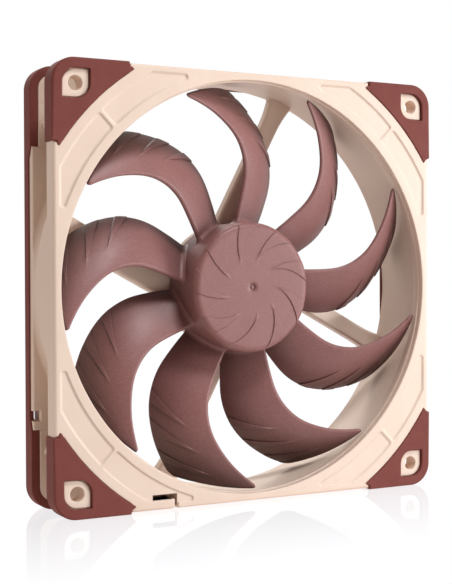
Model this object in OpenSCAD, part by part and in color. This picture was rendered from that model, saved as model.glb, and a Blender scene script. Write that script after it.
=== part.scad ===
// Case fan, 140 mm class: a square frame with soft corner pads and a nine-blade rotor.
// Every part is drawn in fan axes: X right and Y up as seen from the intake side, and
// Z along the fan's axis towards the intake, with 0 halfway through the frame.
// upright() then stands the fan on its bottom edge, intake side facing -Y.

/* [Frame] */
// Outer width over the corner pads
outer_w = 140; // [136:0.5:141]
// Depth of the rigid frame
frame_d = 25; // [24:0.5:26]
// How far the frame's sides lie inside the pads' sides
side_inset = 0.5; // [0.2:0.1:1]
// Thickness of the front and rear flanges
flange_t = 6; // [5:0.5:7]
// Radius of the frame's outer corners
corner_r = 7.5; // [6:0.5:9]
// Rounding of the flanges' long edges
edge_r = 0.9; // [0.4:0.1:1.5]
// Radius of the duct behind the inlet lip
duct_r = 67.5; // [67:0.1:67.8]
// Radius of the step in the inlet lip
lip_step_r = 66.7; // [66.6:0.1:67]
// Radius of the inlet lip at the front face
lip_r = 67.1; // [67:0.1:67.4]

/* [Mounting holes] */
// Distance between mounting hole centres
hole_pitch = 124.5; // [124:0.5:125]
// Radius of a mounting hole
hole_r = 2.25; // [2.1:0.05:2.6]
// Side of the boss round a mounting hole
boss_w = 8.5; // [8:0.5:9]

/* [Soft pads] */
// Radius of the arc that ends the corner pads
pad_arc_r = 80; // [78:0.5:82]
// Distance from the middle of a side to the tip of a pad
pad_reach = 44.5; // [42:0.5:48]
// Thickness of a pad's side wall
pad_wall = 2; // [1.5:0.1:2.5]
// How far the front pads stand proud of the frame
pad_proud = 0.4; // [0.2:0.1:0.6]
// How far the rear gasket stands proud of the frame
gasket_proud = 0.8; // [0.4:0.1:1.2]
// Gap between a boss and the window round it
window_gap = 0.3; // [0.2:0.05:0.4]

/* [Rotor] */
// Number of blades
blade_count = 9; // [9:1:9]
// Radius of the blade tips
tip_r = 66.2; // [65:0.1:66.3]
// Radius of the hub
hub_r = 21.3; // [21:0.1:21.5]
// Height of the hub's front face
hub_front = 10.7; // [10:0.1:11]
// Height of the hub's rear rim
hub_rear = -8.3; // [-8.6:0.1:-8]
// Camber of a blade as a part of its chord
camber = 0.07; // [0.03:0.01:0.1]
// Thickness of a blade at its root
blade_t = 1.7; // [1.2:0.1:2]

/* [Struts and motor base] */
// Width of a rear strut
strut_w = 6.2; // [5:0.1:7]
// Width of the strut that carries the lead
lead_strut_w = 8.6; // [8:0.1:9]
// Distance from the fan's axis to the middle line of a strut
strut_offset = 10; // [8:0.5:11]
// Direction of the strut above the hub
strut_turn = 62; // [55:1:70]
// Radius of the motor base
base_r = 21; // [20.5:0.1:21.2]

/* [Motor] */
// Radius of the shaft
shaft_r = 1.5; // [1.5:0.1:1.5]
// Running clearance between the shaft and its sleeve
shaft_gap = 0.03; // [0.02:0.01:0.08]
// Outer radius of the bearing tube
tube_r = 4.6; // [4.5:0.1:4.8]
// Outer radius of the stator core
stator_r = 16.8; // [16.5:0.1:16.9]
// Thickness of the core's lamination stack
stack_t = 6; // [5:0.5:7]

/* [Hidden] */
$fn = 96;

over = 1;                                  // how far cutters run past a face
fit = 0.05;                                // gap between two moulded parts that touch
half_w = outer_w / 2;
side = half_w - side_inset;                // half the width of the bare frame
front = frame_d / 2;
rear = -frame_d / 2;
axis_height = half_w;
depth_shift = (gasket_proud - pad_proud) / 2;

beige = [0.92, 0.84, 0.75];
brown = [0.42, 0.22, 0.19];
rotor_brown = [0.47, 0.31, 0.29];
steel = [0.72, 0.73, 0.75];
dark_steel = [0.35, 0.36, 0.38];
magnet_grey = [0.22, 0.22, 0.24];
brass = [0.80, 0.64, 0.32];
copper = [0.72, 0.40, 0.22];
board_green = [0.12, 0.32, 0.20];
chip_black = [0.08, 0.08, 0.09];
cream = [0.88, 0.86, 0.78];

// ---- placing ----

module upright()
    translate([0, -depth_shift, axis_height]) rotate([90, 0, 0]) children();

// Draws its children from height low to height high
module slab(low, high)
    translate([0, 0, low]) linear_extrude(high - low) children();

module tube(low, high, outer, inner)
    slab(low, high) difference() {
        circle(outer);
        circle(inner);
    }

module at_corners()
    for (sx = [-1, 1], sy = [-1, 1]) to_corner(sx, sy) children();

// Mirrors the top right corner into any corner
module to_corner(sx, sy)
    mirror([sx < 0 ? 1 : 0, 0, 0]) mirror([0, sy < 0 ? 1 : 0, 0]) children();

// ---- flat outlines ----

module round_rect(half_x, half_y, r) {
    square([2 * half_x - 2 * r, 2 * half_y], center = true);
    square([2 * half_x, 2 * half_y - 2 * r], center = true);
    for (sx = [-1, 1], sy = [-1, 1])
        translate([sx * (half_x - r), sy * (half_y - r)]) circle(r);
}

// The area of one corner that a pad covers, drawn in by inset from the frame's sides
module pad_area(inset, arc_r)
    difference() {
        intersection() {
            round_rect(half_w - inset, half_w - inset, corner_r - inset);
            translate([pad_reach, pad_reach]) square(half_w);
        }
        circle(arc_r, $fn = 180);
    }

// Square with two round corners on the line to the fan's axis
module leaf(w) {
    circle(w / 2);
    translate([-w / 2, 0]) square(w / 2);
    translate([0, -w / 2]) square(w / 2);
}

module at_hole() translate([hole_pitch / 2, hole_pitch / 2]) children();

// ---- frame ----

pad_face_t = 1.5;                          // thickness of a pad over its flange
rear_flange_front = -6.6;
front_flange_rear = front - flange_t;
skirt_t = 1.5;                             // thickness of the gasket's skirt
skirt_front = -9;                          // how far forward the skirt reaches
corner_skirt_front = -7.2;                 // the same at the corners
pocket_depth = 0.55;
pocket_in = 70.3;
pocket_out = 76.7;
pocket_side = 67.4;
pocket_rib = 1.2;

// Cross-section of the duct wall, turned about the fan's axis
module duct_profile()
    polygon([
        [duct_r + 0.2, rear], [69.4, rear], [69.4, -4.6], [72.8, front_flange_rear],
        [72.8, front], [lip_r + 0.3, front], [lip_r, front - 0.3],
        [lip_r, front - 1.9], [lip_step_r, front - 2], [lip_step_r, front - 3],
        [duct_r, front - 6]]);

module duct()
    difference() {
        rotate_extrude($fn = 180) duct_profile();
        at_corners() slab(front + pad_proud - pad_face_t, front + over)
            pad_area(-over, pad_arc_r);
        slab(rear - over, skirt_front) difference() {
            square(3 * half_w, center = true);
            square(2 * (half_w - skirt_t), center = true);
        }
    }

module front_flange() {
    slab(front_flange_rear, front) difference() {
        round_rect(side, side, corner_r - side_inset);
        circle(70, $fn = 180);
        at_corners() pad_area(-over, pad_arc_r);
    }
    at_corners() {
        slab(front_flange_rear, front + pad_proud - pad_face_t)
            intersection() {
                pad_area(pad_wall, pad_arc_r - over);
                square(half_w);
            }
        slab(front_flange_rear, front - 0.6) at_hole() leaf(boss_w);
    }
}

module rear_flange() {
    slab(skirt_front, rear_flange_front) difference() {
        round_rect(side, side, corner_r - side_inset);
        circle(69, $fn = 180);
        at_corners() pad_area(-over, pad_arc_r);
    }
    slab(rear, skirt_front) difference() {
        round_rect(half_w - skirt_t, half_w - skirt_t, corner_r - skirt_t);
        circle(69, $fn = 180);
        at_corners() pad_area(-over, pad_arc_r);
    }
    at_corners() {
        slab(rear, rear_flange_front) pad_area(pad_wall, pad_arc_r - over);
        slab(rear - 0.4, rear) at_hole() leaf(boss_w);
    }
}

// Two gussets at each corner brace the rear flange against the duct
gusset_at = 51.5;
gusset_t = 1.4;
module gussets()
    at_corners() for (flip = [0, 1])
        mirror([flip, -flip, 0]) translate([0, gusset_at + gusset_t / 2, 0])
            rotate([90, 0, 0]) linear_extrude(gusset_t)
                polygon([[48, rear_flange_front - over], [67.5, rear_flange_front - over],
                    [67.5, rear_flange_front], [52, rear_flange_front + 7],
                    [48, rear_flange_front + 7]]);

module front_pockets()
    slab(front - pocket_depth, front + over) difference() {
        intersection() {
            circle(pocket_out, $fn = 180);
            square(2 * pocket_side, center = true);
        }
        circle(pocket_in, $fn = 180);
        for (turn = [45, 135]) rotate(turn)
            square([4 * half_w, pocket_rib], center = true);
    }

// A hooked slot in the front flange that a lead is pressed into
module cable_hook() {
    slab(front_flange_rear - over, front + over) {
        translate([-37.2, -66.5]) square([8.4, 1.7]);
        translate([-30, -half_w - over]) square([1.2, half_w + over - 64.8]);
    }
}

// A notch in the left edge of the rear flange that lets a lead out
notch_low = -41.6;
notch_h = 3.2;
notch_x = -67.2;
module rear_notch(inner_x)
    slab(rear - 2 * over, rear_flange_front + over)
        translate([-half_w - over, notch_low]) square([half_w + over + inner_x, notch_h]);

strut_front = -9;
strut_bevel = 0.9;
strut_turns = [strut_turn, strut_turn - 90, strut_turn - 180];
lead_strut_turn = strut_turn + 90;
strut_end = 68.6;

module strut(w) {
    bevelled = w / 2 - strut_bevel;
    translate([0, strut_offset, 0]) rotate([90, 0, 90]) linear_extrude(strut_end)
        polygon([[-w / 2, rear], [w / 2, rear], [w / 2, strut_front - strut_bevel],
            [bevelled, strut_front], [-bevelled, strut_front],
            [-w / 2, strut_front - strut_bevel]]);
    slab(rear, strut_front)
        polygon([[60, strut_offset - w / 2], [70, strut_offset - w / 2 - 3],
            [70, strut_offset + w / 2 + 3], [60, strut_offset + w / 2]]);
}

module struts() {
    for (turn = strut_turns) rotate(turn) strut(strut_w);
    rotate(lead_strut_turn) strut(lead_strut_w);
}

base_floor = rear + 1.6;                   // inner face of the motor base's floor
base_rim_front = -9.2;
label_r = 18.2;
label_t = 0.25;
seat_r = 6.2;                              // radius of the tube's seat in the base
seat_top = -8.9;

module motor_base() {
    slab(rear, base_floor) circle(base_r);
    tube(rear, base_rim_front, base_r, base_r - 1.3);
    slab(rear, seat_top) circle(seat_r);
}

module lead_channel()
    rotate(lead_strut_turn)
        translate([17, strut_offset - 1.8, rear - over]) cube([54, 3.6, over + 2.4]);

module frame()
    color(beige) upright() difference() {
        union() {
            intersection() {
                union() {
                    front_flange();
                    rear_flange();
                    gussets();
                    duct();
                }
                frame_envelope();
            }
            intersection() {
                struts();
                tube(rear - over, front, 69, base_r - 0.6);
            }
            motor_base();
        }
        front_pockets();
        cable_hook();
        rear_notch(notch_x);
        lead_channel();
        slab(rear - over, rear + label_t) circle(label_r + 0.2);
        slab(rear + 0.8, seat_top + over) circle(tube_r);
        at_corners() slab(rear - 2 * over, front + over) at_hole() circle(hole_r);
    }

// Block with rounded long edges that the flanges are trimmed to
module frame_envelope()
    intersection() {
        translate([-half_w, 0, 0]) rotate([90, 0, 90]) linear_extrude(outer_w)
            round_rect(side, front, edge_r);
        translate([0, half_w, 0]) rotate([90, 0, 0]) linear_extrude(outer_w)
            round_rect(side, front, edge_r);
    }

// ---- pads and gasket ----

module front_pad()
    difference() {
        union() {
            slab(front + pad_proud - pad_face_t, front + pad_proud)
                pad_area(0, pad_arc_r + fit);
            slab(front_flange_rear - 0.5, front) difference() {
                pad_area(0, pad_arc_r + fit);
                pad_area(pad_wall, pad_arc_r - over);
            }
            slab(front_flange_rear - 0.5, front_flange_rear) difference() {
                pad_area(0, pad_arc_r + fit);
                pad_area(pad_wall + 1.2, pad_arc_r - over);
            }
        }
        slab(0, front + over) at_hole() leaf(boss_w + 2 * window_gap);
    }

module front_pad_top_left() color(brown) upright() to_corner(-1, 1) front_pad();
module front_pad_top_right() color(brown) upright() to_corner(1, 1) front_pad();
module front_pad_bottom_left() color(brown) upright() to_corner(-1, -1) front_pad();
module front_pad_bottom_right() color(brown) upright() to_corner(1, -1) front_pad();

strip_w = 2.95;                            // width of the gasket between its corners

module rear_gasket()
    color(brown) upright() difference() {
        union() {
            slab(rear - gasket_proud, rear) {
                difference() {
                    round_rect(half_w, half_w, corner_r);
                    round_rect(half_w - strip_w, half_w - strip_w, corner_r - strip_w);
                }
                at_corners() pad_area(0, pad_arc_r + fit);
            }
            slab(rear, skirt_front) difference() {
                round_rect(half_w, half_w, corner_r);
                round_rect(half_w - skirt_t, half_w - skirt_t, corner_r - skirt_t);
            }
            at_corners() slab(rear, corner_skirt_front) difference() {
                pad_area(0, pad_arc_r + fit);
                pad_area(pad_wall, pad_arc_r - over);
            }
        }
        at_corners() slab(rear - 2 * over, rear + over)
            at_hole() leaf(boss_w + 2 * window_gap);
        slab(rear - 2 * over, rear + fit) translate([-half_w + skirt_t, notch_low])
            square([strip_w, notch_h]);
    }

// ---- impeller ----

// Stations along a blade from root to tip: angle of the leading edge, angle of the
// trailing edge and height of the leading edge. The stations are evenly spaced.
stations = [
    [-64.0, -98.5, 1.2],
    [-68.8, -96.8, 2.6],
    [-70.3, -94.3, 4.3],
    [-66.6, -88.7, 6.1],
    [-58.3, -80.1, 7.9],
    [-48.0, -70.0, 10.0]];
stations_from = 20;
stations_to = 66;
trail_height = -6.7;
root_r = 20.4;
span_steps = 14;
chord_steps = [0, 0.012, 0.04, 0.12, 0.28, 0.45, 0.62, 0.8, 0.95, 1];

function ext(i) =
    i < 0 ? 2 * stations[0] - stations[1]
    : i > len(stations) - 1 ? 2 * stations[len(stations) - 1] - stations[len(stations) - 2]
    : stations[i];

// Smooth curve through the stations, at radius r
function station(r) =
    let (p = (r - stations_from) / (stations_to - stations_from) * (len(stations) - 1),
        i = min(max(floor(p), 0), len(stations) - 2), t = p - i,
        a = ext(i - 1), b = ext(i), c = ext(i + 1), d = ext(i + 2))
    b + 0.5 * t * ((c - a) + t * ((2 * a - 5 * b + 4 * c - d) + t * (3 * (b - c) + d - a)));

function corner_cut(c) =
    1.4 * pow(max(0, 1 - c / 0.07), 2) + 1.2 * pow(max(0, (c - 0.94) / 0.06), 2);
function half_thickness(s, c) =
    let (nose = sqrt(1 - pow(1 - min(1, c / 0.04), 2)), tail = c > 0.999 ? 0.55 : 1)
    0.5 * (blade_t - 0.5 * s) * (1 - 0.6 * c) * nose * tail + 0.02;

// Point on a blade: s runs from root to tip, c from leading to trailing edge, and
// face is 1 on the suction side and -1 on the pressure side
function blade_point(s, c, face) =
    let (r = root_r + s * (tip_r - corner_cut(c) - root_r), m = station(r),
        turn = (m[0] - m[1]) * PI / 180 * r, rise = m[2] - trail_height,
        chord = norm([turn, rise]), n = [-rise, turn] / chord,
        push = camber * chord * 4 * c * (1 - c) + face * half_thickness(s, c),
        t = turn * (1 - c) + push * n[0], z = trail_height + rise * (1 - c) + push * n[1],
        a = m[1] + t / r * 180 / PI)
    [r * cos(a), r * sin(a), z];

module blade() {
    nc = len(chord_steps);
    ring = 2 * nc;
    points = [for (i = [0:span_steps]) each concat(
        [for (c = chord_steps) blade_point(i / span_steps, c, 1)],
        [for (j = [nc - 1:-1:0]) blade_point(i / span_steps, chord_steps[j], -1)])];
    skin = [for (i = [0:span_steps - 1], j = [0:ring - 1])
        let (a = i * ring + j, b = i * ring + (j + 1) % ring)
        each [[a, b + ring, b], [a, a + ring, b + ring]]];
    last = span_steps * ring;
    ends = [for (j = [0:nc - 2])
        let (p = j, q = j + 1, u = ring - 1 - j, v = ring - 2 - j)
        each concat(
            [[p, v, u], [p, q, v]],
            [[last + p, last + v, last + q], [last + p, last + u, last + v]])];
    polyhedron(points, concat(skin, ends));
}

hub_wall = 1.2;
hub_face_t = 1.4;
hub_rim_r = 2;
yoke_top = hub_front - hub_face_t;
boss_r = 3.6;
boss_low = 5.9;

module hub_shell()
    difference() {
        rotate_extrude() {
            translate([0, hub_rear]) square([hub_r, hub_front - hub_rear - hub_rim_r]);
            translate([0, hub_rear]) square([hub_r - hub_rim_r, hub_front - hub_rear]);
            translate([hub_r - hub_rim_r, hub_front - hub_rim_r]) circle(hub_rim_r);
        }
        slab(hub_rear - over, yoke_top) circle(hub_r - hub_wall);
        slab(hub_front - 0.5, hub_front + over) circle(1.7);
    }

module impeller()
    color(rotor_brown) upright() {
        difference() {
            for (i = [0:blade_count - 1]) rotate(i * 360 / blade_count) blade();
            slab(hub_rear - over, hub_front) circle(hub_r - hub_wall / 2);
        }
        hub_shell();
    }

// ---- rotor inner parts ----

yoke_r = hub_r - hub_wall;
yoke_wall = 0.8;
magnet_t = 1.8;
magnet_low = -7;
magnet_high = 6.5;
shaft_low = -10.8;
shaft_high = 9.1;
groove_low = -9.75;
groove_high = -9.25;
groove_r = 1.1;

module rotor_yoke()
    color(steel) upright() {
        tube(hub_rear + 0.3, yoke_top, yoke_r, yoke_r - yoke_wall);
        tube(yoke_top - yoke_wall, yoke_top, yoke_r, boss_r);
    }

module ring_magnet()
    color(magnet_grey) upright()
        tube(magnet_low, magnet_high, yoke_r - yoke_wall, yoke_r - yoke_wall - magnet_t);

module shaft_boss()
    color(brass) upright() difference() {
        union() {
            slab(boss_low, yoke_top) circle(boss_r);
            slab(boss_low + 0.8, yoke_top - yoke_wall) circle(boss_r + 1.4);
        }
        slab(boss_low - over, shaft_high) circle(shaft_r);
    }

module shaft()
    color(steel) upright() difference() {
        rotate_extrude() polygon([[0, shaft_low], [shaft_r - 0.3, shaft_low],
            [shaft_r, shaft_low + 0.3], [shaft_r, shaft_high - 0.2],
            [shaft_r - 0.2, shaft_high], [0, shaft_high]]);
        tube(groove_low, groove_high, shaft_r + over, groove_r);
    }

module retaining_clip()
    color(dark_steel) upright() slab(groove_low + 0.05, groove_high - 0.05) difference() {
        circle(2.6);
        circle(groove_r);
        translate([0, -0.35]) square([4, 0.7]);
    }

// ---- bearing ----

tube_wall = 0.7;
tube_low = rear + 0.8;
tube_high = 5.4;
well_r = tube_r - tube_wall;
disc_t = 0.6;

module bearing_tube()
    color(brass) upright() tube(tube_low, tube_high, tube_r, well_r);

module bearing_sleeve()
    color(brass) upright() tube(-9, 4.2, well_r, shaft_r + shaft_gap);

module oil_seal_washer()
    color(chip_black) upright() tube(4.4, 4.9, well_r, shaft_r + 0.3);

module stabilising_magnet()
    color(magnet_grey) upright() tube(tube_low + disc_t, tube_low + disc_t + 0.9,
        well_r, 2);

module thrust_disc()
    color(cream) upright() slab(tube_low, tube_low + disc_t) circle(well_r);

// ---- stator ----

stack_low = -2.5;
stack_high = stack_low + stack_t;
pole_count = 4;
pole_w = 4.4;
shoe_in = 14.9;
core_hub_r = 7.6;
insulation = 0.9;
wire_t = 2;
coil_in = 8.4;
coil_out = 13.6;

module pole_outline(w) {
    circle(core_hub_r);
    for (i = [0:pole_count - 1]) rotate(i * 360 / pole_count)
        translate([0, -w / 2]) square([shoe_in + 0.8, w]);
    difference() {
        circle(stator_r);
        circle(shoe_in);
        for (i = [0:pole_count - 1]) rotate(45 + i * 360 / pole_count)
            translate([0, -1.4]) square([stator_r + over, 2.8]);
    }
}

module stator_core()
    color(steel) upright() slab(stack_low, stack_high) difference() {
        pole_outline(pole_w);
        circle(tube_r);
    }

// One half of the bobbin: a plate on the core's end with flanges that hold the coils
module insulator(low, high)
    difference() {
        slab(low, high) pole_outline(pole_w + 2 * insulation);
        slab(low - over, high + over) circle(tube_r);
        slab(low - over, high + over) difference() {
            circle(stator_r + over);
            circle(stator_r - 0.4);
        }
    }

module front_insulator() color(cream) upright() insulator(stack_high, stack_high + insulation);
module rear_insulator() color(cream) upright() insulator(stack_low - insulation, stack_low);

module windings()
    color(copper) upright() for (i = [0:pole_count - 1]) rotate(i * 360 / pole_count)
        translate([coil_in, 0, (stack_low + stack_high) / 2]) rotate([90, 0, 90])
            linear_extrude(coil_out - coil_in) difference() {
                round_rect(pole_w / 2 + insulation + wire_t,
                    stack_t / 2 + insulation + wire_t, 1.8);
                square([pole_w + 2 * insulation, stack_t + 2 * insulation], center = true);
            }

// ---- circuit board and its parts ----

board_low = -8.7;
board_high = -7.9;
board_r = 16.6;
pin_r = 0.35;
pin_ring_r = 15.7;
pin_turns = [20, 70, 110];

module at_pins() for (turn = pin_turns) rotate(turn) translate([pin_ring_r, 0]) children();

module circuit_board()
    color(board_green) upright() slab(board_low, board_high) difference() {
        circle(board_r);
        circle(seat_r + 0.3);
        at_pins() circle(pin_r);
    }

module terminal_pins()
    color(steel) upright() slab(board_low - 0.3, stack_low - insulation)
        at_pins() circle(pin_r);

// A component on the front of the board, at a turn and a distance from the axis
module on_board(turn, r, size)
    rotate(turn) translate([r - size[0] / 2, -size[1] / 2, board_high]) cube(size);

module driver_chip()
    color(chip_black) upright() {
        on_board(215, 11.5, [4, 5, 1.3]);
        for (turn_side = [-1, 1], i = [-1.5:1:1.5])
            rotate(215) translate([11.5 + turn_side * 2.35, i * 1.2, board_high + 0.2])
                cube([0.7, 0.4, 0.4], center = true);
    }

module hall_sensor()
    color(chip_black) upright() on_board(45, 14.6, [1.6, 2.8, 1.2]);

module smd_parts()
    color(cream) upright() {
        for (turn = [150, 165, 180]) on_board(turn, 12, [2, 1.2, 0.7]);
        for (turn = [265, 280]) on_board(turn, 11, [1.2, 2, 0.8]);
        on_board(310, 11.5, [3.4, 2.8, 1.4]);
    }

module hub_label()
    color(cream) upright() slab(rear, rear + label_t) circle(label_r);

frame();
front_pad_top_left();
front_pad_top_right();
front_pad_bottom_left();
front_pad_bottom_right();
rear_gasket();
impeller();
rotor_yoke();
ring_magnet();
shaft_boss();
shaft();
retaining_clip();
bearing_tube();
bearing_sleeve();
oil_seal_washer();
stabilising_magnet();
thrust_disc();
stator_core();
front_insulator();
rear_insulator();
windings();
terminal_pins();
circuit_board();
driver_chip();
hall_sensor();
smd_parts();
hub_label();
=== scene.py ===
"""Case fan: the visual model, its materials, and the studio it stands in.

Shapes are worked out in millimetres in fan axes: X right and Y up as seen from the intake
side, Z along the fan's axis towards the intake, 0 halfway through the rigid frame. to_row()
turns them into the row's frame, which is in metres with the fan standing on its bottom edge.
A piece is one mesh of closed shells that overlap where the moulding is solid.
"""

import math

import bpy
from mathutils import Matrix, Vector
from mathutils.geometry import tessellate_polygon


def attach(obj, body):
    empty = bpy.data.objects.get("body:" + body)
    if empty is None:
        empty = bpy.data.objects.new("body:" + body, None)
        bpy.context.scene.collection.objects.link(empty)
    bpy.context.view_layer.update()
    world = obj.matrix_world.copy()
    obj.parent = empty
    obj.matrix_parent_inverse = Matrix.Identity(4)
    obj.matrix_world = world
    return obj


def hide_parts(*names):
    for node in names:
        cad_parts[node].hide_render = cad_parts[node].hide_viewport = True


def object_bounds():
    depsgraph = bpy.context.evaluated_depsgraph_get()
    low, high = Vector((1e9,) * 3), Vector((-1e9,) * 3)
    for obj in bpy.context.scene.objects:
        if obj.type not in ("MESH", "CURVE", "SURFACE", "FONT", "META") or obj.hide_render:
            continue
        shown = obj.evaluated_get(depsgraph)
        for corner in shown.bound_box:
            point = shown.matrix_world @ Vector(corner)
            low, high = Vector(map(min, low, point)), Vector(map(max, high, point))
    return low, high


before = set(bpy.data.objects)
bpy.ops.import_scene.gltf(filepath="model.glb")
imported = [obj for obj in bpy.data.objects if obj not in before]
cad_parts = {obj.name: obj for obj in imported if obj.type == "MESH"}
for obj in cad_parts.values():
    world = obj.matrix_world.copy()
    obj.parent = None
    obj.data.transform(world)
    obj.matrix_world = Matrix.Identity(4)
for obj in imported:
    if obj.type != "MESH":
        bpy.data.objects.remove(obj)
cad_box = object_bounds()

# ---- sizes, millimetres ----

MM = 0.001
half_w = (cad_box[1][0] - cad_box[0][0]) / MM / 2
side = half_w - 0.5                       # half the width of the bare frame
front = 12.5                              # the rigid frame's front face
rear = -12.5
rear_proud = 0.8                          # how far the gasket stands behind the frame
front_proud = 0.4                         # how far the pads stand before it
depth_shift = (rear_proud - front_proud) / 2
corner_r = 7.5

flange_rear = 6.5                         # rear face of the front flange
back_flange_front = -6.6
back_flange_step = -9.0                   # where the gasket's skirt begins

duct_r = 67.5
lip_r = 67.1
step_r = 66.7
cone_r = 72.8
barrel_r = 69.4
barrel_top = -4.6
flat_side = side - 0.02                   # flats of the duct, a hair inside the flange's

hole_at = 62.25
hole_r = 2.25
leaf_w = 8.5
window_gap = 0.3

pad_r = 80.0                              # arc that ends a corner pad
pad_tip = 44.5
pad_wall = 2.0
pad_lip = 3.2
pad_face_t = 1.5
skirt_t = 1.5
gasket_lip = 2.65

pocket_in = 70.3
pocket_out = 76.7
pocket_side = 67.4
pocket_floor = 12.02
pocket_rib = 1.2
pocket_slope = 0.8                        # width of a pocket's sloping wall

hub_r = 21.3
hub_front = 10.7
hub_rear = -8.3
tip_r = 66.2
blade_count = 9

base_r = 21.0
strut_front = -9.0
strut_offset = 10.0
strut_w = 6.2
strut_turns = (62, -28, -118)
lead_strut_w = 8.6
lead_strut_turn = 152


def to_row(p):
    return Vector((p[0], -p[2] - depth_shift, p[1] + half_w)) * MM


def smooth(low, high, x):
    """0 up to low, 1 from high on, and an S between them."""
    t = min(1.0, max(0.0, (x - low) / (high - low)))
    return t * t * (3 - 2 * t)


# ---- outlines ----


def arc(r, start, end, steps, cx=0.0, cy=0.0):
    """Points of an arc from angle start to end, in degrees, both ends included."""
    turns = [math.radians(start + (end - start) * i / steps) for i in range(steps + 1)]
    return [(cx + r * math.cos(a), cy + r * math.sin(a)) for a in turns]


def turned(points, quarter):
    """Points turned about the axis by quarters of a full turn."""
    c, s = [(1, 0), (0, 1), (-1, 0), (0, -1)][quarter % 4]
    return [(c * x - s * y, s * x + c * y) for x, y in points]


def mirrored(points):
    """Points mirrored in the diagonal, kept anticlockwise."""
    return [(y, x) for x, y in reversed(points)]


def fillet(points, radius, corner_above, steps=6, only=None):
    """Rounds the corners of a closed outline that turn by more than corner_above degrees. only,
    where given, says for a point whether its corner counts."""
    vs = [Vector(p) for p in points]
    n = len(vs)
    turn_at = [abs((vs[i] - vs[i - 1]).angle_signed(vs[(i + 1) % n] - vs[i])) for i in range(n)]
    is_corner = [math.degrees(turn) > corner_above and (only is None or only(*points[i]))
                 for i, turn in enumerate(turn_at)]
    reaches = [radius * math.tan(min(t, 3.0) / 2) if c else 0 for t, c in zip(turn_at, is_corner)]

    def walk(i, direction, reach):
        """Point at distance reach from corner i along the outline."""
        j = i
        left = reach
        while True:
            k = (j + direction) % n
            length = (vs[k] - vs[j]).length
            if left <= length or is_corner[k]:
                return vs[j].lerp(vs[k], min(0.49 if is_corner[k] and j == i else 1, left / length))
            left -= length
            j = k

    def swallowed(i):
        """True where a point lies within the reach of a corner near it."""
        for direction in (-1, 1):
            j, gone = i, 0.0
            while gone <= max(reaches):
                k = (j + direction) % n
                gone += (vs[k] - vs[j]).length
                if is_corner[k]:
                    if gone < reaches[k]:
                        return True
                    break
                j = k
        return False

    out = []
    for i in range(n):
        if not is_corner[i]:
            if not swallowed(i):
                out.append(tuple(vs[i]))
            continue
        p0 = walk(i, -1, reaches[i])
        p1 = walk(i, 1, reaches[i])
        weight = math.cos(turn_at[i] / 2)
        for s in range(steps + 1):
            t = s / steps
            w = 2 * weight * t * (1 - t)
            total = (1 - t) ** 2 + w + t * t
            out.append(tuple((p0 * (1 - t) ** 2 + vs[i] * w + p1 * t * t) / total))
    return out


def round_rect(half, r, steps=10):
    """Anticlockwise square with round corners, from the middle of its right side."""
    points = []
    for q in range(4):
        points += turned([(half, 0)] + arc(r, 0, 90, steps, half - r, half - r), q)
    return points


def leaf(w):
    """Square with two round corners on the line to the fan's axis, about the origin."""
    r = w / 2
    return arc(r, 0, 90, 12) + [(-r, r)] + arc(r, 180, 270, 12) + [(r, -r)]


def moved(points, dx, dy):
    return [(x + dx, y + dy) for x, y in points]


def ring_of_radius(r, steps):
    return arc(r, 0, 360, steps)[:-1]


# ---- shells ----


class Shells:
    """Closed shells of one piece. Each face keeps the angle above which its edges are sharp."""

    def __init__(self):
        self.points = []
        self.faces = []
        self.limits = []

    def add(self, points, faces, sharp, place=None):
        start = len(self.points)
        flip = False
        if place is not None:
            flip = place.determinant() < 0
            points = [place @ Vector(p) for p in points]
        self.points += [tuple(p) for p in points]
        for f in faces:
            f = [start + i for i in f]
            self.faces.append(f[::-1] if flip else f)
            self.limits.append(sharp)


def round_over(r, steps):
    """Quarter round from a wall to a face, as (inset, distance left to the face)."""
    turns = [math.pi / 2 * i / steps for i in range(steps + 1)]
    return [(r * (1 - math.cos(a)), r * (1 - math.sin(a))) for a in turns]


def rings(low, high, r_low=0.0, r_high=0.0, steps=4):
    """Rings of a wall from low to high as (inset, height), with its two edges rounded."""
    foot = [(0.0, low)]
    if r_low > 0:
        foot = [(inset, low + left) for inset, left in reversed(round_over(r_low, steps))]
    if r_high > 0:
        return foot + [(inset, high - left) for inset, left in round_over(r_high, steps)]
    return foot + [(0.0, high)]


def mitres(points):
    """Outward mitre vector at each point of an anticlockwise outline."""
    n = len(points)
    out = []
    for i in range(n):
        a = Vector(points[i]) - Vector(points[i - 1])
        b = Vector(points[(i + 1) % n]) - Vector(points[i])
        na = Vector((a.y, -a.x)).normalized()
        nb = Vector((b.y, -b.x)).normalized()
        out.append((na + nb) / max(0.2, 1 + na.dot(nb)))
    return out


def bands(rows, n, start=0, closed=False):
    """Faces between rows of rings, n points each. closed joins the last ring to the first."""
    faces = []
    for k in range(rows if closed else rows - 1):
        a = start + k * n
        b = start + (k + 1) % rows * n
        faces += [[a + i, a + (i + 1) % n, b + (i + 1) % n, b + i] for i in range(n)]
    return faces


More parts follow.
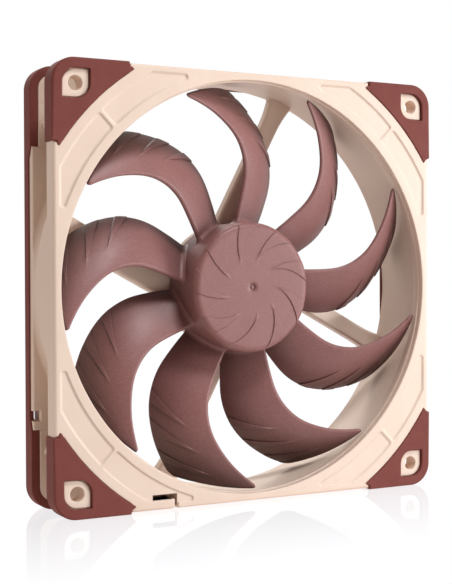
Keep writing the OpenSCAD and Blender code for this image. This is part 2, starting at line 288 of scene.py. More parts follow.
def slab(shells, outer, outer_rings, holes=(), sharp=30, place=None, share=None):
    """Flat plate with holes. holes is a list of (outline, rings), all anticlockwise. Every
    list of rings starts and ends at the same heights, and an inset leads into the material.
    share, where given, says how much of the inset a point of the outer outline takes."""
    points, faces, low_ends, high_ends = [], [], [], []
    for number, (outline, wall) in enumerate([(outer, outer_rings), *holes]):
        is_hole = number > 0
        n = len(outline)
        ms = mitres(outline)
        if share and not is_hole:
            ms = [m * share(*p) for m, p in zip(ms, outline)]
        sign = 1 if is_hole else -1
        start = len(points)
        for inset, z in wall:
            for (x, y), m in zip(outline, ms):
                points.append((x + sign * m.x * inset, y + sign * m.y * inset, z))
        walls = bands(len(wall), n, start)
        faces += [quad[::-1] for quad in walls] if is_hole else walls
        low_ends.append(list(range(start, start + n)))
        last = start + (len(wall) - 1) * n
        high_ends.append(list(range(last, last + n)))
    for ends, up in ((low_ends, False), (high_ends, True)):
        flat = [i for end in ends for i in end]
        loops = [[Vector(points[i]) for i in end] for end in ends]
        for tri in tessellate_polygon(loops):
            tri = [flat[i] for i in tri]
            a, b, c = (Vector(points[i]) for i in tri)
            area = (b - a).cross(c - a).z
            if abs(area) < 1e-9:
                continue
            faces.append(tri if (area > 0) == up else tri[::-1])
    shells.add(points, faces, sharp, place)


def closed_loft(shells, sections, sharp):
    """Skin over closed sections, the last of which meets the first."""
    points = [p for section in sections for p in section]
    faces = [[a, d, c, b] for a, b, c, d in bands(len(sections), len(sections[0]), closed=True)]
    shells.add(points, faces, sharp)


def lathe(shells, profile, segments, sharp):
    """Turns a closed anticlockwise section about the axis. profile gives its points as
    (radius, height) for an angle in radians."""
    sections = []
    for i in range(segments):
        a = 2 * math.pi * i / segments
        sections.append([(r * math.cos(a), r * math.sin(a), z) for r, z in profile(a)])
    closed_loft(shells, sections, sharp)


def loft(shells, sections, sharp, place):
    """Skin over closed sections, each anticlockwise about the direction of the loft."""
    n = len(sections[0])
    points = [p for section in sections for p in section]
    faces = bands(len(sections), n)
    along = Vector(sections[-1][0]) - Vector(sections[0][0])
    for start, up in ((0, False), ((len(sections) - 1) * n, True)):
        loop = [Vector(points[start + i]) for i in range(n)]
        for tri in tessellate_polygon([loop]):
            a, b, c = (loop[i] for i in tri)
            tri = [start + i for i in tri]
            forward = (b - a).cross(c - a).dot(along) > 0
            faces.append(tri if forward == up else tri[::-1])
    shells.add(points, faces, sharp, place)


def disc_lathe(shells, profile, segments, sharp):
    """Turns an open profile whose first and last points lie on the axis."""
    inner = profile[1:-1]
    points = [(0, 0, profile[0][1]), (0, 0, profile[-1][1])]
    n = len(inner)
    for i in range(segments):
        a = 2 * math.pi * i / segments
        points += [(r * math.cos(a), r * math.sin(a), z) for r, z in inner]
    faces = []
    for i in range(segments):
        a = 2 + i * n
        b = 2 + (i + 1) % segments * n
        faces.append([0, b, a])
        faces += [[a + j, b + j, b + j + 1, a + j + 1] for j in range(n - 1)]
        faces.append([1, a + n - 1, b + n - 1])
    shells.add(points, faces, sharp)


def build_piece(name, shells, material, body, nodes):
    """Makes the mesh object, marks its sharp edges and ties it to the frame."""
    mesh = bpy.data.meshes.new(name)
    mesh.from_pydata([to_row(p) for p in shells.points], [], shells.faces)
    mesh.update()
    mesh.shade_smooth()
    normals = [p.normal.copy() for p in mesh.polygons]
    users = {}
    for index, poly in enumerate(mesh.polygons):
        for key in poly.edge_keys:
            users.setdefault(key, []).append(index)
    for edge in mesh.edges:
        near = users.get(edge.key, [])
        if len(near) != 2:
            continue
        a, b = near
        limit = math.radians(min(shells.limits[a], shells.limits[b]))
        edge.use_edge_sharp = normals[a].angle(normals[b], 0.0) > limit
    piece = bpy.data.objects.new(name, mesh)
    bpy.context.scene.collection.objects.link(piece)
    weigh = piece.modifiers.new("weighted normals", "WEIGHTED_NORMAL")
    weigh.keep_sharp = True
    mesh.materials.append(material)
    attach(piece, body)
    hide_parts(*nodes)


def to_corner(sx, sy):
    return Matrix.Diagonal((sx, sy, 1, 1))


corners = {
    "top_left": (-1, 1),
    "top_right": (1, 1),
    "bottom_left": (-1, -1),
    "bottom_right": (1, -1),
}

# ---- frame ----

flange_edge_r = 0.9
hook_left = -37.2
hook_gap = (-29.5, -28.7)
hook_slot = (-66.5, -64.8)
notch = (-41.6, -38.4)
notch_x = -67.2
circle_steps = 288


def quarter_outline(half):
    """Right side of a flange from its middle to the middle of the top, cut for a pad."""
    start = math.degrees(math.asin(pad_tip / pad_r))
    return [(half, 0), (half, pad_tip)] + arc(pad_r, start, 90 - start, 24) + [(pad_tip, half)]


def pocket_outline():
    """Floor of the shallow pocket in the front flange, above the right side's middle. The
    wall slopes out from it."""
    spread = pocket_slope / 2
    inner, outer, reach = pocket_in + spread, pocket_out - spread, pocket_side - spread
    rib = pocket_rib / 2 + spread
    low_in = math.degrees(math.acos(reach / inner))
    low_out = math.degrees(math.acos(reach / outer))
    high_in = 45 - math.degrees(math.asin(rib / inner))
    high_out = 45 - math.degrees(math.asin(rib / outer))
    return arc(outer, low_out, high_out, 16) + arc(inner, high_in, low_in, 32)


def pocket_wall():
    """Rings of a pocket's wall, an S from the floor to the face."""
    steps = 6
    wall = [(0.0, flange_rear), (0.0, pocket_floor)]
    for i in range(1, steps + 1):
        t = i / steps
        wall.append((pocket_slope * t, pocket_floor + (front - pocket_floor) * smooth(0, 1, t)))
    return wall


def flange_outline():
    """Outline of the front flange's raised face. The lower pocket at the bottom left is
    open to the bottom edge through the gap of the cable hook."""
    right = quarter_outline(side)
    rib_out = math.degrees(math.asin(pocket_rib / 2 / pocket_out))
    rib_in = math.degrees(math.asin(pocket_rib / 2 / pocket_in))
    tip_in = math.degrees(math.asin(pocket_side / pocket_in))
    foot = math.degrees(math.asin(-hook_slot[0] / pocket_out))
    points = right + turned(right, 1) + turned(right, 2)
    points += [(hook_gap[0], -side), (hook_gap[0], hook_slot[0])]
    points += arc(pocket_out, 180 + foot, 225 + rib_out, 16)
    points += arc(pocket_in, 225 + rib_in, 180 + tip_in, 32)
    points += [(hook_gap[1], -pocket_side), (hook_gap[1], -side)]
    points += turned(right, 3)
    return fillet(points, 0.6, 50, only=in_hook)


def in_hook(x, y):
    """True in the part of the flange's outline that runs round the open pocket."""
    return math.hypot(x, y) < pocket_out + 0.1 and abs(x) < side - 0.1 and y < 0


def edge_share(x, y):
    """Full rounding on the flange's sides, less in the open pocket, none against the pads."""
    if in_hook(x, y):
        return 0.6
    return 1.0 if max(abs(x), abs(y)) > side - 0.1 else 0.0


def lip_wall():
    """Inner wall of the front flange: round front edge, then in under the duct's step."""
    edge, lip_rear, lip_cut = 0.35, 9.6, 2.2
    return [(lip_cut, flange_rear), (0.0, lip_rear)] + [(d, front - z) for d, z in round_over(edge, 4)]


def front_flange(shells):
    pockets = []
    for q in range(4):
        first = fillet(pocket_outline(), 0.5, 30)
        pockets.append(turned(first, q))
        if q != 2:
            pockets.append(turned(mirrored(first), q))
    slab(shells, flange_outline(), rings(flange_rear, front, 0, flange_edge_r, 6),
         [(p, pocket_wall()) for p in pockets] + [(ring_of_radius(lip_r, circle_steps), lip_wall())],
         share=edge_share)


def hook_guard(shells):
    """Walls behind the hook's slot that lead a cable away towards the corner."""
    left, right = hook_left - 1.2, hook_gap[1] + 0.9
    bottom, top = hook_slot[0] - 0.7, hook_slot[1] + 2.5
    back, wall = 1.5, 0.9
    plates = (
        ((left, right), (bottom, top), (back, back + wall)),
        ((left, right), (bottom, hook_slot[0] - 0.02), (back + 0.1, flange_rear + 0.1)),
        ((right - wall, right), (bottom, top), (back + 0.1, flange_rear + 0.1)),
    )
    for (x0, x1), (y0, y1), (z0, z1) in plates:
        slab(shells, [(x0, y0), (x1, y0), (x1, y1), (x0, y1)], rings(z0, z1, 0.1, 0.1, 2))


def pocket_floors(shells):
    """Floors of the pockets, one for each corner. The hook's gap and slot are in the third."""
    reach = pocket_side + 0.9
    inner, outer = pocket_in - 0.8, pocket_out + 1.3
    a_in = math.degrees(math.acos(reach / inner))
    a_out = math.degrees(math.acos(reach / outer))
    low = flange_rear - 0.01
    for q in range(4):
        plan = arc(outer, a_out, 90 - a_out, 24)
        if q == 2:
            gap_left, gap_right = (-x for x in hook_gap)
            bottom, top = (-y for y in hook_slot)
            plan += [(gap_left, reach), (gap_left, bottom), (-hook_left, bottom),
                     (-hook_left, top), (gap_right, top), (gap_right, reach)]
        plan += arc(inner, 90 - a_in, a_in, 40)
        slab(shells, turned(plan, q), rings(low, pocket_floor))


def duct_profile(angle):
    """Section of the duct wall at an angle. Its outside is flat where it meets the sides."""
    flat = flat_side / max(abs(math.cos(angle)), abs(math.sin(angle)))
    slope = (flange_rear - barrel_top) / (cone_r - barrel_r)
    crease_r = min(flat, cone_r)
    crease = min(barrel_top + (crease_r - barrel_r) * slope, flange_rear)
    crease = max(crease, barrel_top + 0.02)
    blend = 2.0
    foot = back_flange_front - 0.02
    low = back_flange_step + 0.3
    step_top, step_foot, flare_h = 10.6, 9.5, 3.0
    neck_r = min(flat, 70.0)
    points = [(duct_r, low), (min(flat, barrel_r + blend), low)]
    points += [(min(flat, barrel_r + out), foot + up) for up, out in round_over(blend, 6)]
    points += [(min(flat, barrel_r), barrel_top), (crease_r, crease), (crease_r, flange_rear + 0.03),
               (neck_r, flange_rear + 0.04), (neck_r - 0.6, step_foot - 0.1),
               (step_r + 1.6, step_top), (step_r + 0.12, step_top), (step_r, step_top - 0.12),
               (step_r, step_foot)]
    flare_steps = 6
    for i in range(1, flare_steps + 1):
        t = i / flare_steps
        points.append((step_r + (duct_r - step_r) * smooth(0, 1, t), step_foot - flare_h * t))
    return points


def rear_outline(half):
    """Outline of the rear flange, with the notch that lets a lead out on the left."""
    right = quarter_outline(half)
    points = right + turned(right, 1)
    left = turned(right, 2)
    points += [(-half, notch[1]), (notch_x, notch[1]), (notch_x, notch[0]), (-half, notch[0])]
    points += left[1:]
    points += turned(right, 3)
    return points


def rear_flange(shells):
    front_part = rings(back_flange_step, back_flange_front, 0, 0.55, 5)
    slab(shells, rear_outline(side), front_part,
         [(ring_of_radius(68.6, circle_steps), rings(back_flange_step, back_flange_front))])
    top = back_flange_step + 0.5
    inner_wall = rings(rear, top - 0.2, 0.35, 0, 4) + [(0.6, top)]
    slab(shells, rear_outline(half_w - skirt_t), rings(rear, top, 0.25, 0, 3),
         [(ring_of_radius(duct_r, circle_steps), inner_wall)])


def corner_arc(r, steps, start=0, end=90):
    """Arc about the centre that the round edges of the top right corner share."""
    return arc(r, start, end, steps, half_w - corner_r, half_w - corner_r)


def corner_area(inset, r):
    """Area under a pad at the top right corner, inset from the pad's outside."""
    half = half_w - inset
    start = math.degrees(math.asin(pad_tip / r))
    points = [(half, pad_tip)] + corner_arc(corner_r - inset, 10)
    return points + [(pad_tip, half)] + arc(r, 90 - start, start, 24)


def frame_corners(shells):
    """At each corner a plate under the front pad, two under the gasket, and two bosses."""
    centre = (hole_at, hole_at)
    plate_hole = moved(ring_of_radius(hole_r + 1, 24), *centre)
    boss = moved(leaf(leaf_w), *centre)
    bore = moved(ring_of_radius(hole_r, 40), *centre)
    under_pad = front + front_proud - pad_face_t
    under_lip = corner_skirt_front - 0.55
    plates = (
        (pad_wall, flange_rear + 0.01, under_pad),
        (pad_wall, rear + 0.01, under_lip),
        (gasket_lip + 0.1, under_lip - 0.1, back_flange_front - 0.01),
    )
    bosses = ((flange_rear - 0.02, front - 0.6), (rear - 0.4, back_flange_front + 0.02))
    for signs in corners.values():
        place = to_corner(*signs)
        for inset, low, high in plates:
            slab(shells, corner_area(inset, pad_r - 1), rings(low, high, 0.1, 0.1, 2),
                 [(plate_hole, rings(low, high))], place=place)
        for low, high in bosses:
            slab(shells, boss, rings(low, high, 0.25, 0.25, 3),
                 [(bore, rings(low, high, 0.3, 0.3, 3))], place=place)


def gussets(shells):
    """Two ribs at each corner that brace the rear flange against the duct, and two stubs
    with a round nose under the front flange."""
    across, thick = 51.5, 1.4
    inner, outer = 45, 66
    foot, top = back_flange_front - 1, back_flange_front + 7
    brace = [(inner, foot), (outer, foot), (outer, foot + 1.4), (52, top), (inner, top)]
    brace = fillet(brace, 0.4, 20)
    root, nose, shoulder = flange_rear + 0.1, 4.6, 3.2
    stub = [(-root, 48.8), (shoulder, 49.2), (nose, 50.2), (nose, 51.0), (shoulder, 52.0), (-root, 52.4)]
    stub = fillet(stub, 0.5, 20)
    edge_on = Matrix(((1, 0, 0, 0), (0, 0, -1, across), (0, 1, 0, 0), (0, 0, 0, 1)))
    lengthwise = Matrix(((0, 0, 1, 0), (0, 1, 0, 0), (-1, 0, 0, 0), (0, 0, 0, 1)))
    swap = Matrix(((0, 1, 0, 0), (1, 0, 0, 0), (0, 0, 1, 0), (0, 0, 0, 1)))
    for signs in corners.values():
        for turn in (Matrix.Identity(4), swap):
            place = to_corner(*signs) @ turn
            slab(shells, brace, rings(-thick / 2, thick / 2, 0.15, 0.15, 2), place=place @ edge_on)
            slab(shells, stub, rings(48, outer + 0.6, 0.1, 0.25, 2), place=place @ lengthwise)


def strut_section(w, channel):
    """Section of a strut as (across, height): round front edges, and a channel if asked."""
    h = w / 2
    edge_r = 1.1
    low = rear + 0.02
    channel_half, channel_top = 1.8, rear + 2.4
    points = [(-h, low)]
    if channel:
        points += [(-channel_half, low), (-channel_half, channel_top), (channel_half, channel_top),
                   (channel_half, low)]
    points.append((h, low))
    points += arc(edge_r, 0, 90, 6, h - edge_r, strut_front - edge_r)
    return points + arc(edge_r, 90, 180, 6, edge_r - h, strut_front - edge_r)


def strut_stations():
    """Stations of a strut from the base to the duct, as (distance at most, circle that it
    ends on, growth of its half width)."""
    flare_from, flare_length = 56, 11.2
    stations = [(math.inf, base_r - 0.6, 0.0)]
    for x in (40, 56, 59, 61, 63, 65, 66.5):
        flare = max(0.0, (x - flare_from) / flare_length) ** 2.2 * 1.5
        stations.append((x, duct_r + 0.5, flare))
    return stations + [(math.inf, duct_r + 0.9, 1.6)]


def struts(shells):
    """Four struts that carry the motor base. The widest has a channel for the lead."""
    plain = [(turn, strut_w, False) for turn in strut_turns]
    for turn, w, channel in [*plain, (lead_strut_turn, lead_strut_w, True)]:
        sections = []
        for x, circle, flare in strut_stations():
            points = []
            for across, z in strut_section(w, channel):
                y = strut_offset + across * (1 + flare / (w / 2))
                points.append((min(x, math.sqrt(circle ** 2 - y * y)), y, z))
            sections.append(points)
        loft(shells, sections, 35, Matrix.Rotation(math.radians(turn), 4, "Z"))


def motor_base(shells):
    """Shallow cup that holds the circuit board, with a seat for the bearing tube and a
    recess for the label behind."""
    floor, rim_front, wall = rear + 1.6, -9.2, 1.3
    label_r, label_t = 18.4, 0.25
    seat_r, seat_top = 6.2, -8.9
    tube_r, tube_rear = 4.6, rear + 0.8
    rear_round, rim_round = 0.5, 0.55
    bevel, soft = 0.3, 0.15
    inside = base_r - wall
    profile = [(0, rear + label_t), (label_r, rear + label_t), (label_r, rear + 0.08),
               (label_r + 0.1, rear)]
    profile += [(base_r - inset, rear + up) for up, inset in round_over(rear_round, 5)]
    profile += [(base_r - inset, rim_front - down) for inset, down in round_over(rim_round, 6)]
    profile += [(inside + soft, rim_front), (inside, rim_front - soft), (inside, floor + bevel),
                (inside - bevel, floor), (seat_r + bevel, floor), (seat_r, floor + bevel),
                (seat_r, seat_top - 0.2), (seat_r - 0.2, seat_top), (tube_r, seat_top),
                (tube_r, tube_rear), (0, tube_rear)]
    disc_lathe(shells, profile, 144, 30)


def build_frame(material):
    shells = Shells()
    front_flange(shells)
    pocket_floors(shells)
    hook_guard(shells)
    lathe(shells, duct_profile, 360, 12)
    rear_flange(shells)
    frame_corners(shells)
    gussets(shells)
    struts(shells)
    motor_base(shells)
    build_piece("moulded_frame", shells, material, "housing", ["frame"])


# ---- pads and gasket ----

pad_edge_r = 0.8
silicone_sharp = 40                       # edges of soft parts are sharp above this angle


def window_outline():
    """Leaf-shaped window round the top right mounting hole."""
    return fillet(moved(leaf(leaf_w + 2 * window_gap), hole_at, hole_at), 0.35, 50, 4)


def pad_face_outline():
    """Face of a front pad at the top right corner. Its tips run on past its side walls."""
    r = pad_r + 0.05
    shoulder = half_w - 1.6
    start = math.degrees(math.asin((pad_tip - 1.7) / r))
    half = [(shoulder, pad_tip - 0.75), (shoulder, pad_tip), (half_w, pad_tip)]
    points = half + corner_arc(corner_r, 12) + mirrored(half)
    return points + arc(r, 90 - start, start, 28)


def pad_share(x, y):
    """Full rounding along a pad's outside, less towards its tips and its arc."""
    return 0.4 + 0.6 * smooth(82.5, 88.0, math.hypot(x, y))


def pad_band(thickness, inset=0.0):
    """Side wall of a pad at the top right corner, seen from the front."""
    out = half_w - inset
    inner = half_w - thickness
    outer = [(out, pad_tip)] + corner_arc(corner_r - inset, 12) + [(pad_tip, out)]
    return outer + [(pad_tip, inner)] + corner_arc(corner_r - thickness, 10, 90, 0) + [(inner, pad_tip)]


def build_pad(name, material):
    shells = Shells()
    place = to_corner(*corners[name])
    top = front + front_proud
    under = top - pad_face_t
    low = flange_rear - 0.5
    face = fillet(pad_face_outline(), 0.35, 28, 4)
    window = (window_outline(), rings(under, top, 0, 0.25, 3))
    slab(shells, face, rings(under, top, 0, pad_edge_r, 5), [window], silicone_sharp, place, pad_share)
    wall = rings(low, under - 0.02, 0.35, 0, 4) + [(0.03, under), (0.03, under + 0.5)]
    slab(shells, fillet(pad_band(pad_wall), 0.6, 50, 4), wall, (), silicone_sharp, place)
    lip = rings(low + 0.02, low + 0.5, 0.2, 0, 3)
    slab(shells, pad_band(pad_lip, 0.4), lip, (), silicone_sharp, place)
    build_piece("pad_" + name, shells, material, "housing", ["front_pad_" + name])


strip_w = 2.95
skirt_front = back_flange_step
corner_skirt_front = -7.2
skirt_ramp = (40.6, 44.3)                 # where the skirt rises to the corners


def skirt_top(x, y):
    """Front edge of the gasket's skirt. It rises in a ramp to the corners."""
    along = min(abs(x), abs(y))
    t = min(1.0, max(0.0, (along - skirt_ramp[0]) / (skirt_ramp[1] - skirt_ramp[0])))
    return skirt_front + (corner_skirt_front - skirt_front) * t


def skirt_plan():
    """Points along the gasket's outside with a point at each end of every ramp."""
    low, high = skirt_ramp
    stops = [0, 12, 24, 36, low, low + 1.2, high - 1.2, high, 50, 56]
    quarter = [(half_w, s) for s in stops] + corner_arc(corner_r, 14)
    quarter += [(s, half_w) for s in reversed(stops[1:])]
    return [p for q in range(4) for p in turned(quarter, q)]


def gasket_skirt(shells):
    """Band of the gasket that covers the frame's sides."""
    plan = skirt_plan()
    low = rear - 0.1
    edge, bevel = 0.3, 0.2
    sections = []
    for (x, y), m in zip(plan, mitres(plan)):
        top = skirt_top(x, y)
        thick = skirt_t if top < corner_skirt_front - 0.05 else pad_wall
        section = [(0.03, low), (0.03, rear + 0.05), (0, rear + 0.1)]
        section += [(inset, top - down) for inset, down in round_over(edge, 4)]
        section += [(thick - bevel, top), (thick, top - bevel), (thick, low)]
        sections.append([(x - m.x * d, y - m.y * d, z) for d, z in section])
    closed_loft(shells, sections, silicone_sharp)


def gasket_inner_outline():
    """Inner outline of the gasket: straight strips that widen into the corner pads."""
    r = pad_r + 0.05
    inner = half_w - strip_w
    start = math.degrees(math.asin(pad_tip / r))
    quarter = [(inner, 0), (inner, pad_tip - 0.9)] + arc(r, start, 90 - start, 24)
    quarter.append((pad_tip - 0.9, inner))
    depth = skirt_t - half_w
    cut = [(-inner, notch[1]), (depth, notch[1]), (depth, notch[0]), (-inner, notch[0])]
    left = turned(quarter, 2)
    points = quarter + turned(quarter, 1)
    return points + left[:1] + cut + left[1:] + turned(quarter, 3)


def build_gasket(material):
    shells = Shells()
    low = rear - rear_proud
    high = rear - 0.02
    outer_wall = rings(low, high + 0.1, 0.7, 0, 5)[:-1] + [(0, high)]
    inner_wall = rings(low, high, 0.2, 0, 3)
    holes = [(fillet(gasket_inner_outline(), 0.3, 40, 3), inner_wall)]
    for sx, sy in corners.values():
        window = [(x * sx, y * sy) for x, y in window_outline()]
        holes.append((window if sx * sy > 0 else window[::-1], inner_wall))
    slab(shells, round_rect(half_w, corner_r, 14), outer_wall, holes, silicone_sharp)
    gasket_skirt(shells)
    lip = rings(corner_skirt_front - 0.5, corner_skirt_front - 0.02, 0, 0.2, 3)
    for signs in corners.values():
        slab(shells, pad_band(gasket_lip, 0.4), lip, (), silicone_sharp, to_corner(*signs))
    build_piece("gasket", shells, material, "housing", ["rear_gasket"])


# ---- impeller ----

# Angle of the leading edge, angle of the trailing edge and height of the leading edge, at
# evenly spaced radii. part.scad lists the same stations.
blade_stations = [
    Vector((-64.0, -98.5, 1.2)),
    Vector((-68.8, -96.8, 2.6)),
    Vector((-70.3, -94.3, 4.3)),
    Vector((-66.6, -88.7, 6.1)),
    Vector((-58.3, -80.1, 7.9)),
    Vector((-48.0, -70.0, 10.0)),
]
stations_from, stations_to = 20.0, 66.0
trail_height = -6.7
blade_root = 20.6
camber = 0.07
root_blend = 1.8
root_section = 20.4                       # radius of the thickest section
root_t, thinning = 1.7, 0.5               # its thickness, and how much thinner the tip is
tip_round = 0.6
bead_h = 0.32
rotor_sharp = 32
# A raised wedge on the suction side: where its point is, and where its two edges leave
# the blade, as (radius of point, chord of point, inner radius, outer radius)
wedge_places = [(50.3, 0.31, 44.0, 47.8), (56.8, 0.30, 52.3, 55.9), (63.2, 0.33, 59.8, 63.4)]
wedge_h = 0.45
wedge_wall = 0.26


def station(r):
    """Smooth curve through the stations at radius r."""
    last = len(blade_stations) - 1
    p = (r - stations_from) / (stations_to - stations_from) * last
    i = min(max(int(math.floor(p)), 0), last - 1)
    t = p - i

    def at(k):
        if k < 0:
            return 2 * blade_stations[0] - blade_stations[1]
        if k > last:
            return 2 * blade_stations[last] - blade_stations[last - 1]
        return blade_stations[k]

    a, b, c, d = at(i - 1), at(i), at(i + 1), at(i + 2)
    return b + 0.5 * t * ((c - a) + t * ((2 * a - 5 * b + 4 * c - d) + t * (3 * (b - c) + d - a)))


def tip_at(c):
    """Radius of the tip at chord c, drawn in at both corners."""
    lead_corner = max(0, 1 - c / 0.07)
    trail_corner = max(0, (c - 0.94) / 0.06)
    return tip_r - 1.4 * lead_corner ** 2 - 1.2 * trail_corner ** 2


def wedge_rows(c):
    """Radii of the four rows that draw each wedge at chord c, and the wedge's height there."""
    out = []
    for point_r, point_c, inner, outer in wedge_places:
        t = max(0.0, (c - point_c) / (1 - point_c))
        low = point_r + (inner - point_r) * t
        high = point_r + (outer - point_r) * t
        spread = high - low
        mid = (low + high) / 2
        half = max(spread / 2, wedge_wall * 0.75)
        h = wedge_h * smooth(0.0, 1.6, spread)
        out.append(([mid - half - wedge_wall / 2, mid - half + wedge_wall / 2,
                     mid + half - wedge_wall / 2, mid + half + wedge_wall / 2], h))
    return out


def blade_rows(c):
    """Radii from root to tip at chord c with the lift of the suction side at each."""
    rows = [(blade_root, 0), (hub_r - 0.1, 0)]
    rows += [(hub_r + root_blend * 1.1 * (i / 7) ** 1.6, 0) for i in range(1, 8)]
    wedges = wedge_rows(c)
    tip = tip_at(c)

    def fill(to, count):
        start = rows[-1][0]
        rows.extend((start + (to - start) * i / (count + 1), 0) for i in range(1, count + 1))

    for number, ((low, from_r, to_r, high), h) in enumerate(wedges):
        fill(low, 4 if number else 20)
        rows.append((low, 0))
        rows += [(from_r + (to_r - from_r) * i / 4, h) for i in range(5)]
        rows.append((high, 0))
    fill(tip - 1.0, 1)
    rows.append((tip - 1.0, 0))
    rows += [(tip - left, 0) for _, left in round_over(tip_round, 6)]
    return rows


def half_thickness(r, c):
    """Half the blade's thickness, thinner to the tip and the tail and round at each edge."""
    s = (r - root_section) / (tip_r - root_section)
    nose = math.sqrt(max(0.0, 1 - (1 - min(1, c / 0.04)) ** 2))
    tail = math.sqrt(max(0.0, 1 - max(0.0, (c - 0.99) / 0.01) ** 2))
    end = math.sqrt(max(0.0, 1 - max(0.0, (r - tip_at(c) + tip_round) / tip_round) ** 2))
    return 0.5 * (root_t - thinning * s) * (1 - 0.6 * c) * nose * tail * end + 0.015


def root_growth(r):
    """How far the blade swells where it meets the hub."""
    d = min(root_blend, max(0.0, r - hub_r))
    return root_blend - math.sqrt(root_blend ** 2 - (root_blend - d) ** 2)


def tip_bead(r, c):
    """Low bead along the rear half of the tip, on the suction side."""
    d = tip_at(c) - r
    return bead_h * smooth(0.35, 0.6, c) * smooth(1.5, 0.7, d) * smooth(-0.05, 0.3, d)


def blade_point(r, c, face, lift):
    """Point of the blade at radius r and chord c, on the suction side (face 1) or the
    pressure side (face -1)."""
    lead_turn, trail_turn, lead_height = station(r)
    turn = math.radians(lead_turn - trail_turn) * r
    rise = lead_height - trail_height
    chord = math.hypot(turn, rise)
    normal = (-rise / chord, turn / chord)
    along = (turn / chord, rise / chord)
    grow = root_growth(r)
    body = half_thickness(r, c)
    taper = smooth(0.0, 0.02, c) * smooth(1.0, 0.995, c) * 0.6 + 0.4
    push = camber * chord * 4 * c * (1 - c) + face * (body + grow * taper * 0.8)
    if face > 0:
        push += lift * smooth(1.002, 0.99, c) + tip_bead(r, c)
    slide = grow * math.cos(math.pi * c) * 0.7
    t = turn * (1 - c) + push * normal[0] + slide * along[0]
    z = trail_height + rise * (1 - c) + push * normal[1] + slide * along[1]
    a = math.radians(trail_turn) + t / r
    return (r * math.cos(a), r * math.sin(a), z)


def blade_chords():
    """Chords of the blade's sections, 0 at the leading edge, close together at both edges."""
    nose = [0, 0.0015, 0.005, 0.011, 0.02, 0.03, 0.042]
    body = [nose[-1] + (0.94 - nose[-1]) * i / 54 for i in range(1, 55)]
    return nose + body + [0.955, 0.968, 0.978, 0.985, 0.99, 0.9935, 0.9965, 0.999, 1.0]


def blades(shells):
    """The blades, each a grid of points on both sides, closed along its four edges."""
    chords = blade_chords()
    columns = [blade_rows(c) for c in chords]
    count = len(columns[0])
    nc = len(chords)
    points = []
    for face in (1, -1):
        for c, rows in zip(chords, columns):
            points += [blade_point(r, c, face, lift) for r, lift in rows]
    faces = []
    back = nc * count
    # both sides
    for i in range(nc - 1):
        for j in range(count - 1):
            a = i * count + j
            b = a + count
            faces.append([a, b, b + 1, a + 1])
            faces.append([back + a, back + a + 1, back + b + 1, back + b])
    # leading and trailing edges
    last = (nc - 1) * count
    for j in range(count - 1):
        faces.append([j, j + 1, back + j + 1, back + j])
        faces.append([last + j, back + last + j, back + last + j + 1, last + j + 1])
    # root and tip
    for i in range(nc - 1):
        a = i * count
        t = a + count - 1
        faces.append([a, back + a, back + a + count, a + count])
        faces.append([t, t + count, back + t + count, back + t])
    for k in range(blade_count):
        shells.add(points, faces, rotor_sharp, Matrix.Rotation(math.radians(k * 360 / blade_count), 4, "Z"))


swirl_h = 0.36
swirl_wall = 0.28
swirl_from = 8.0
swirl_to = 20.3
swirl_turn = (18.0, 37.0)                 # how far a wedge's two edges turn on their way out
swirl_start = 82.7
rim_r = 2.0
hub_wall = 1.2
hub_inside_top = 9.2


def hub_columns(r):
    """Angles round the hub at radius r with the lift of the front face at each, 0 or 1."""
    u = max(0.0, (r - swirl_from) / (swirl_to - swirl_from))
    step = 360 / blade_count
    wall = math.degrees(swirl_wall / max(r, 3.0))
    out = []
    for k in range(blade_count):
        start = swirl_start + k * step
        a = start - swirl_turn[0] * u
        b = start - swirl_turn[1] * u
        half = max((a - b) / 2, wall * 0.75)
        mid = (a + b) / 2
        lift = smooth(0.0, 1.2, math.radians(a - b) * r)
        low, high = mid - half, mid + half
        nxt = mid + step - half
        out += [(low - wall / 2, 0), (low + wall / 2, lift)]
        out += [(low + wall / 2 + (high - low - wall) * i / 6, lift) for i in range(1, 6)]
        out += [(high - wall / 2, lift), (high + wall / 2, 0)]
        gap = nxt - wall / 2 - (high + wall / 2)
        out += [(high + wall / 2 + gap * i / 7, 0) for i in range(1, 7)]
    return out


def hub_rings():
    """Rings of the hub from the middle of its face to its rear rim and up its inside, as
    (radius, height, share of the swirl's lift)."""
    top = hub_front - swirl_h
    inside = hub_r - hub_wall
    dimple = [(0.3, 0.4), (0.42, 0.45), (0.55, 0.65), (0.95, 0.65), (1.1, 0.6), (1.18, 0.3),
              (1.3, 0.22), (1.6, 0.18), (1.72, 0.04), (1.9, 0)]
    out = [(r, top - depth, 0) for r, depth in dimple + [(2.6, 0), (5, 0)]]
    flat_r = hub_r - rim_r
    out += [(swirl_from + (flat_r - swirl_from) * i / 16, top, 1) for i in range(17)]
    for i, (down, inset) in enumerate(round_over(rim_r, 10)):
        if i > 0:
            out.append((hub_r - inset, top - down, 1 - (i / 10) ** 2))
    wall = [(hub_r, 4), (hub_r, 0), (hub_r, -4), (hub_r, hub_rear + 0.3), (hub_r - 0.3, hub_rear),
            (inside + 0.2, hub_rear), (inside, hub_rear + 0.2), (inside, hub_inside_top)]
    return out + [(r, z, 0) for r, z in wall]


def hub(shells):
    """Hub with its swirl, closed at the middle of its face and of its inside."""
    points = []
    steps = hub_rings()
    count = len(hub_columns(1.0))
    for r, z, share in steps:
        for angle, lift in hub_columns(r):
            a = math.radians(angle)
            points.append((r * math.cos(a), r * math.sin(a), z + lift * share * swirl_h))
    faces = [[a, d, c, b] for a, b, c, d in bands(len(steps), count)]
    centre = len(points)
    points += [(0, 0, steps[0][1]), (0, 0, steps[-1][1])]
    last = (len(steps) - 1) * count
    for i in range(count):
        m = (i + 1) % count
        faces.append([centre, i, m])
        faces.append([centre + 1, last + m, last + i])
    shells.add(points, faces, rotor_sharp)


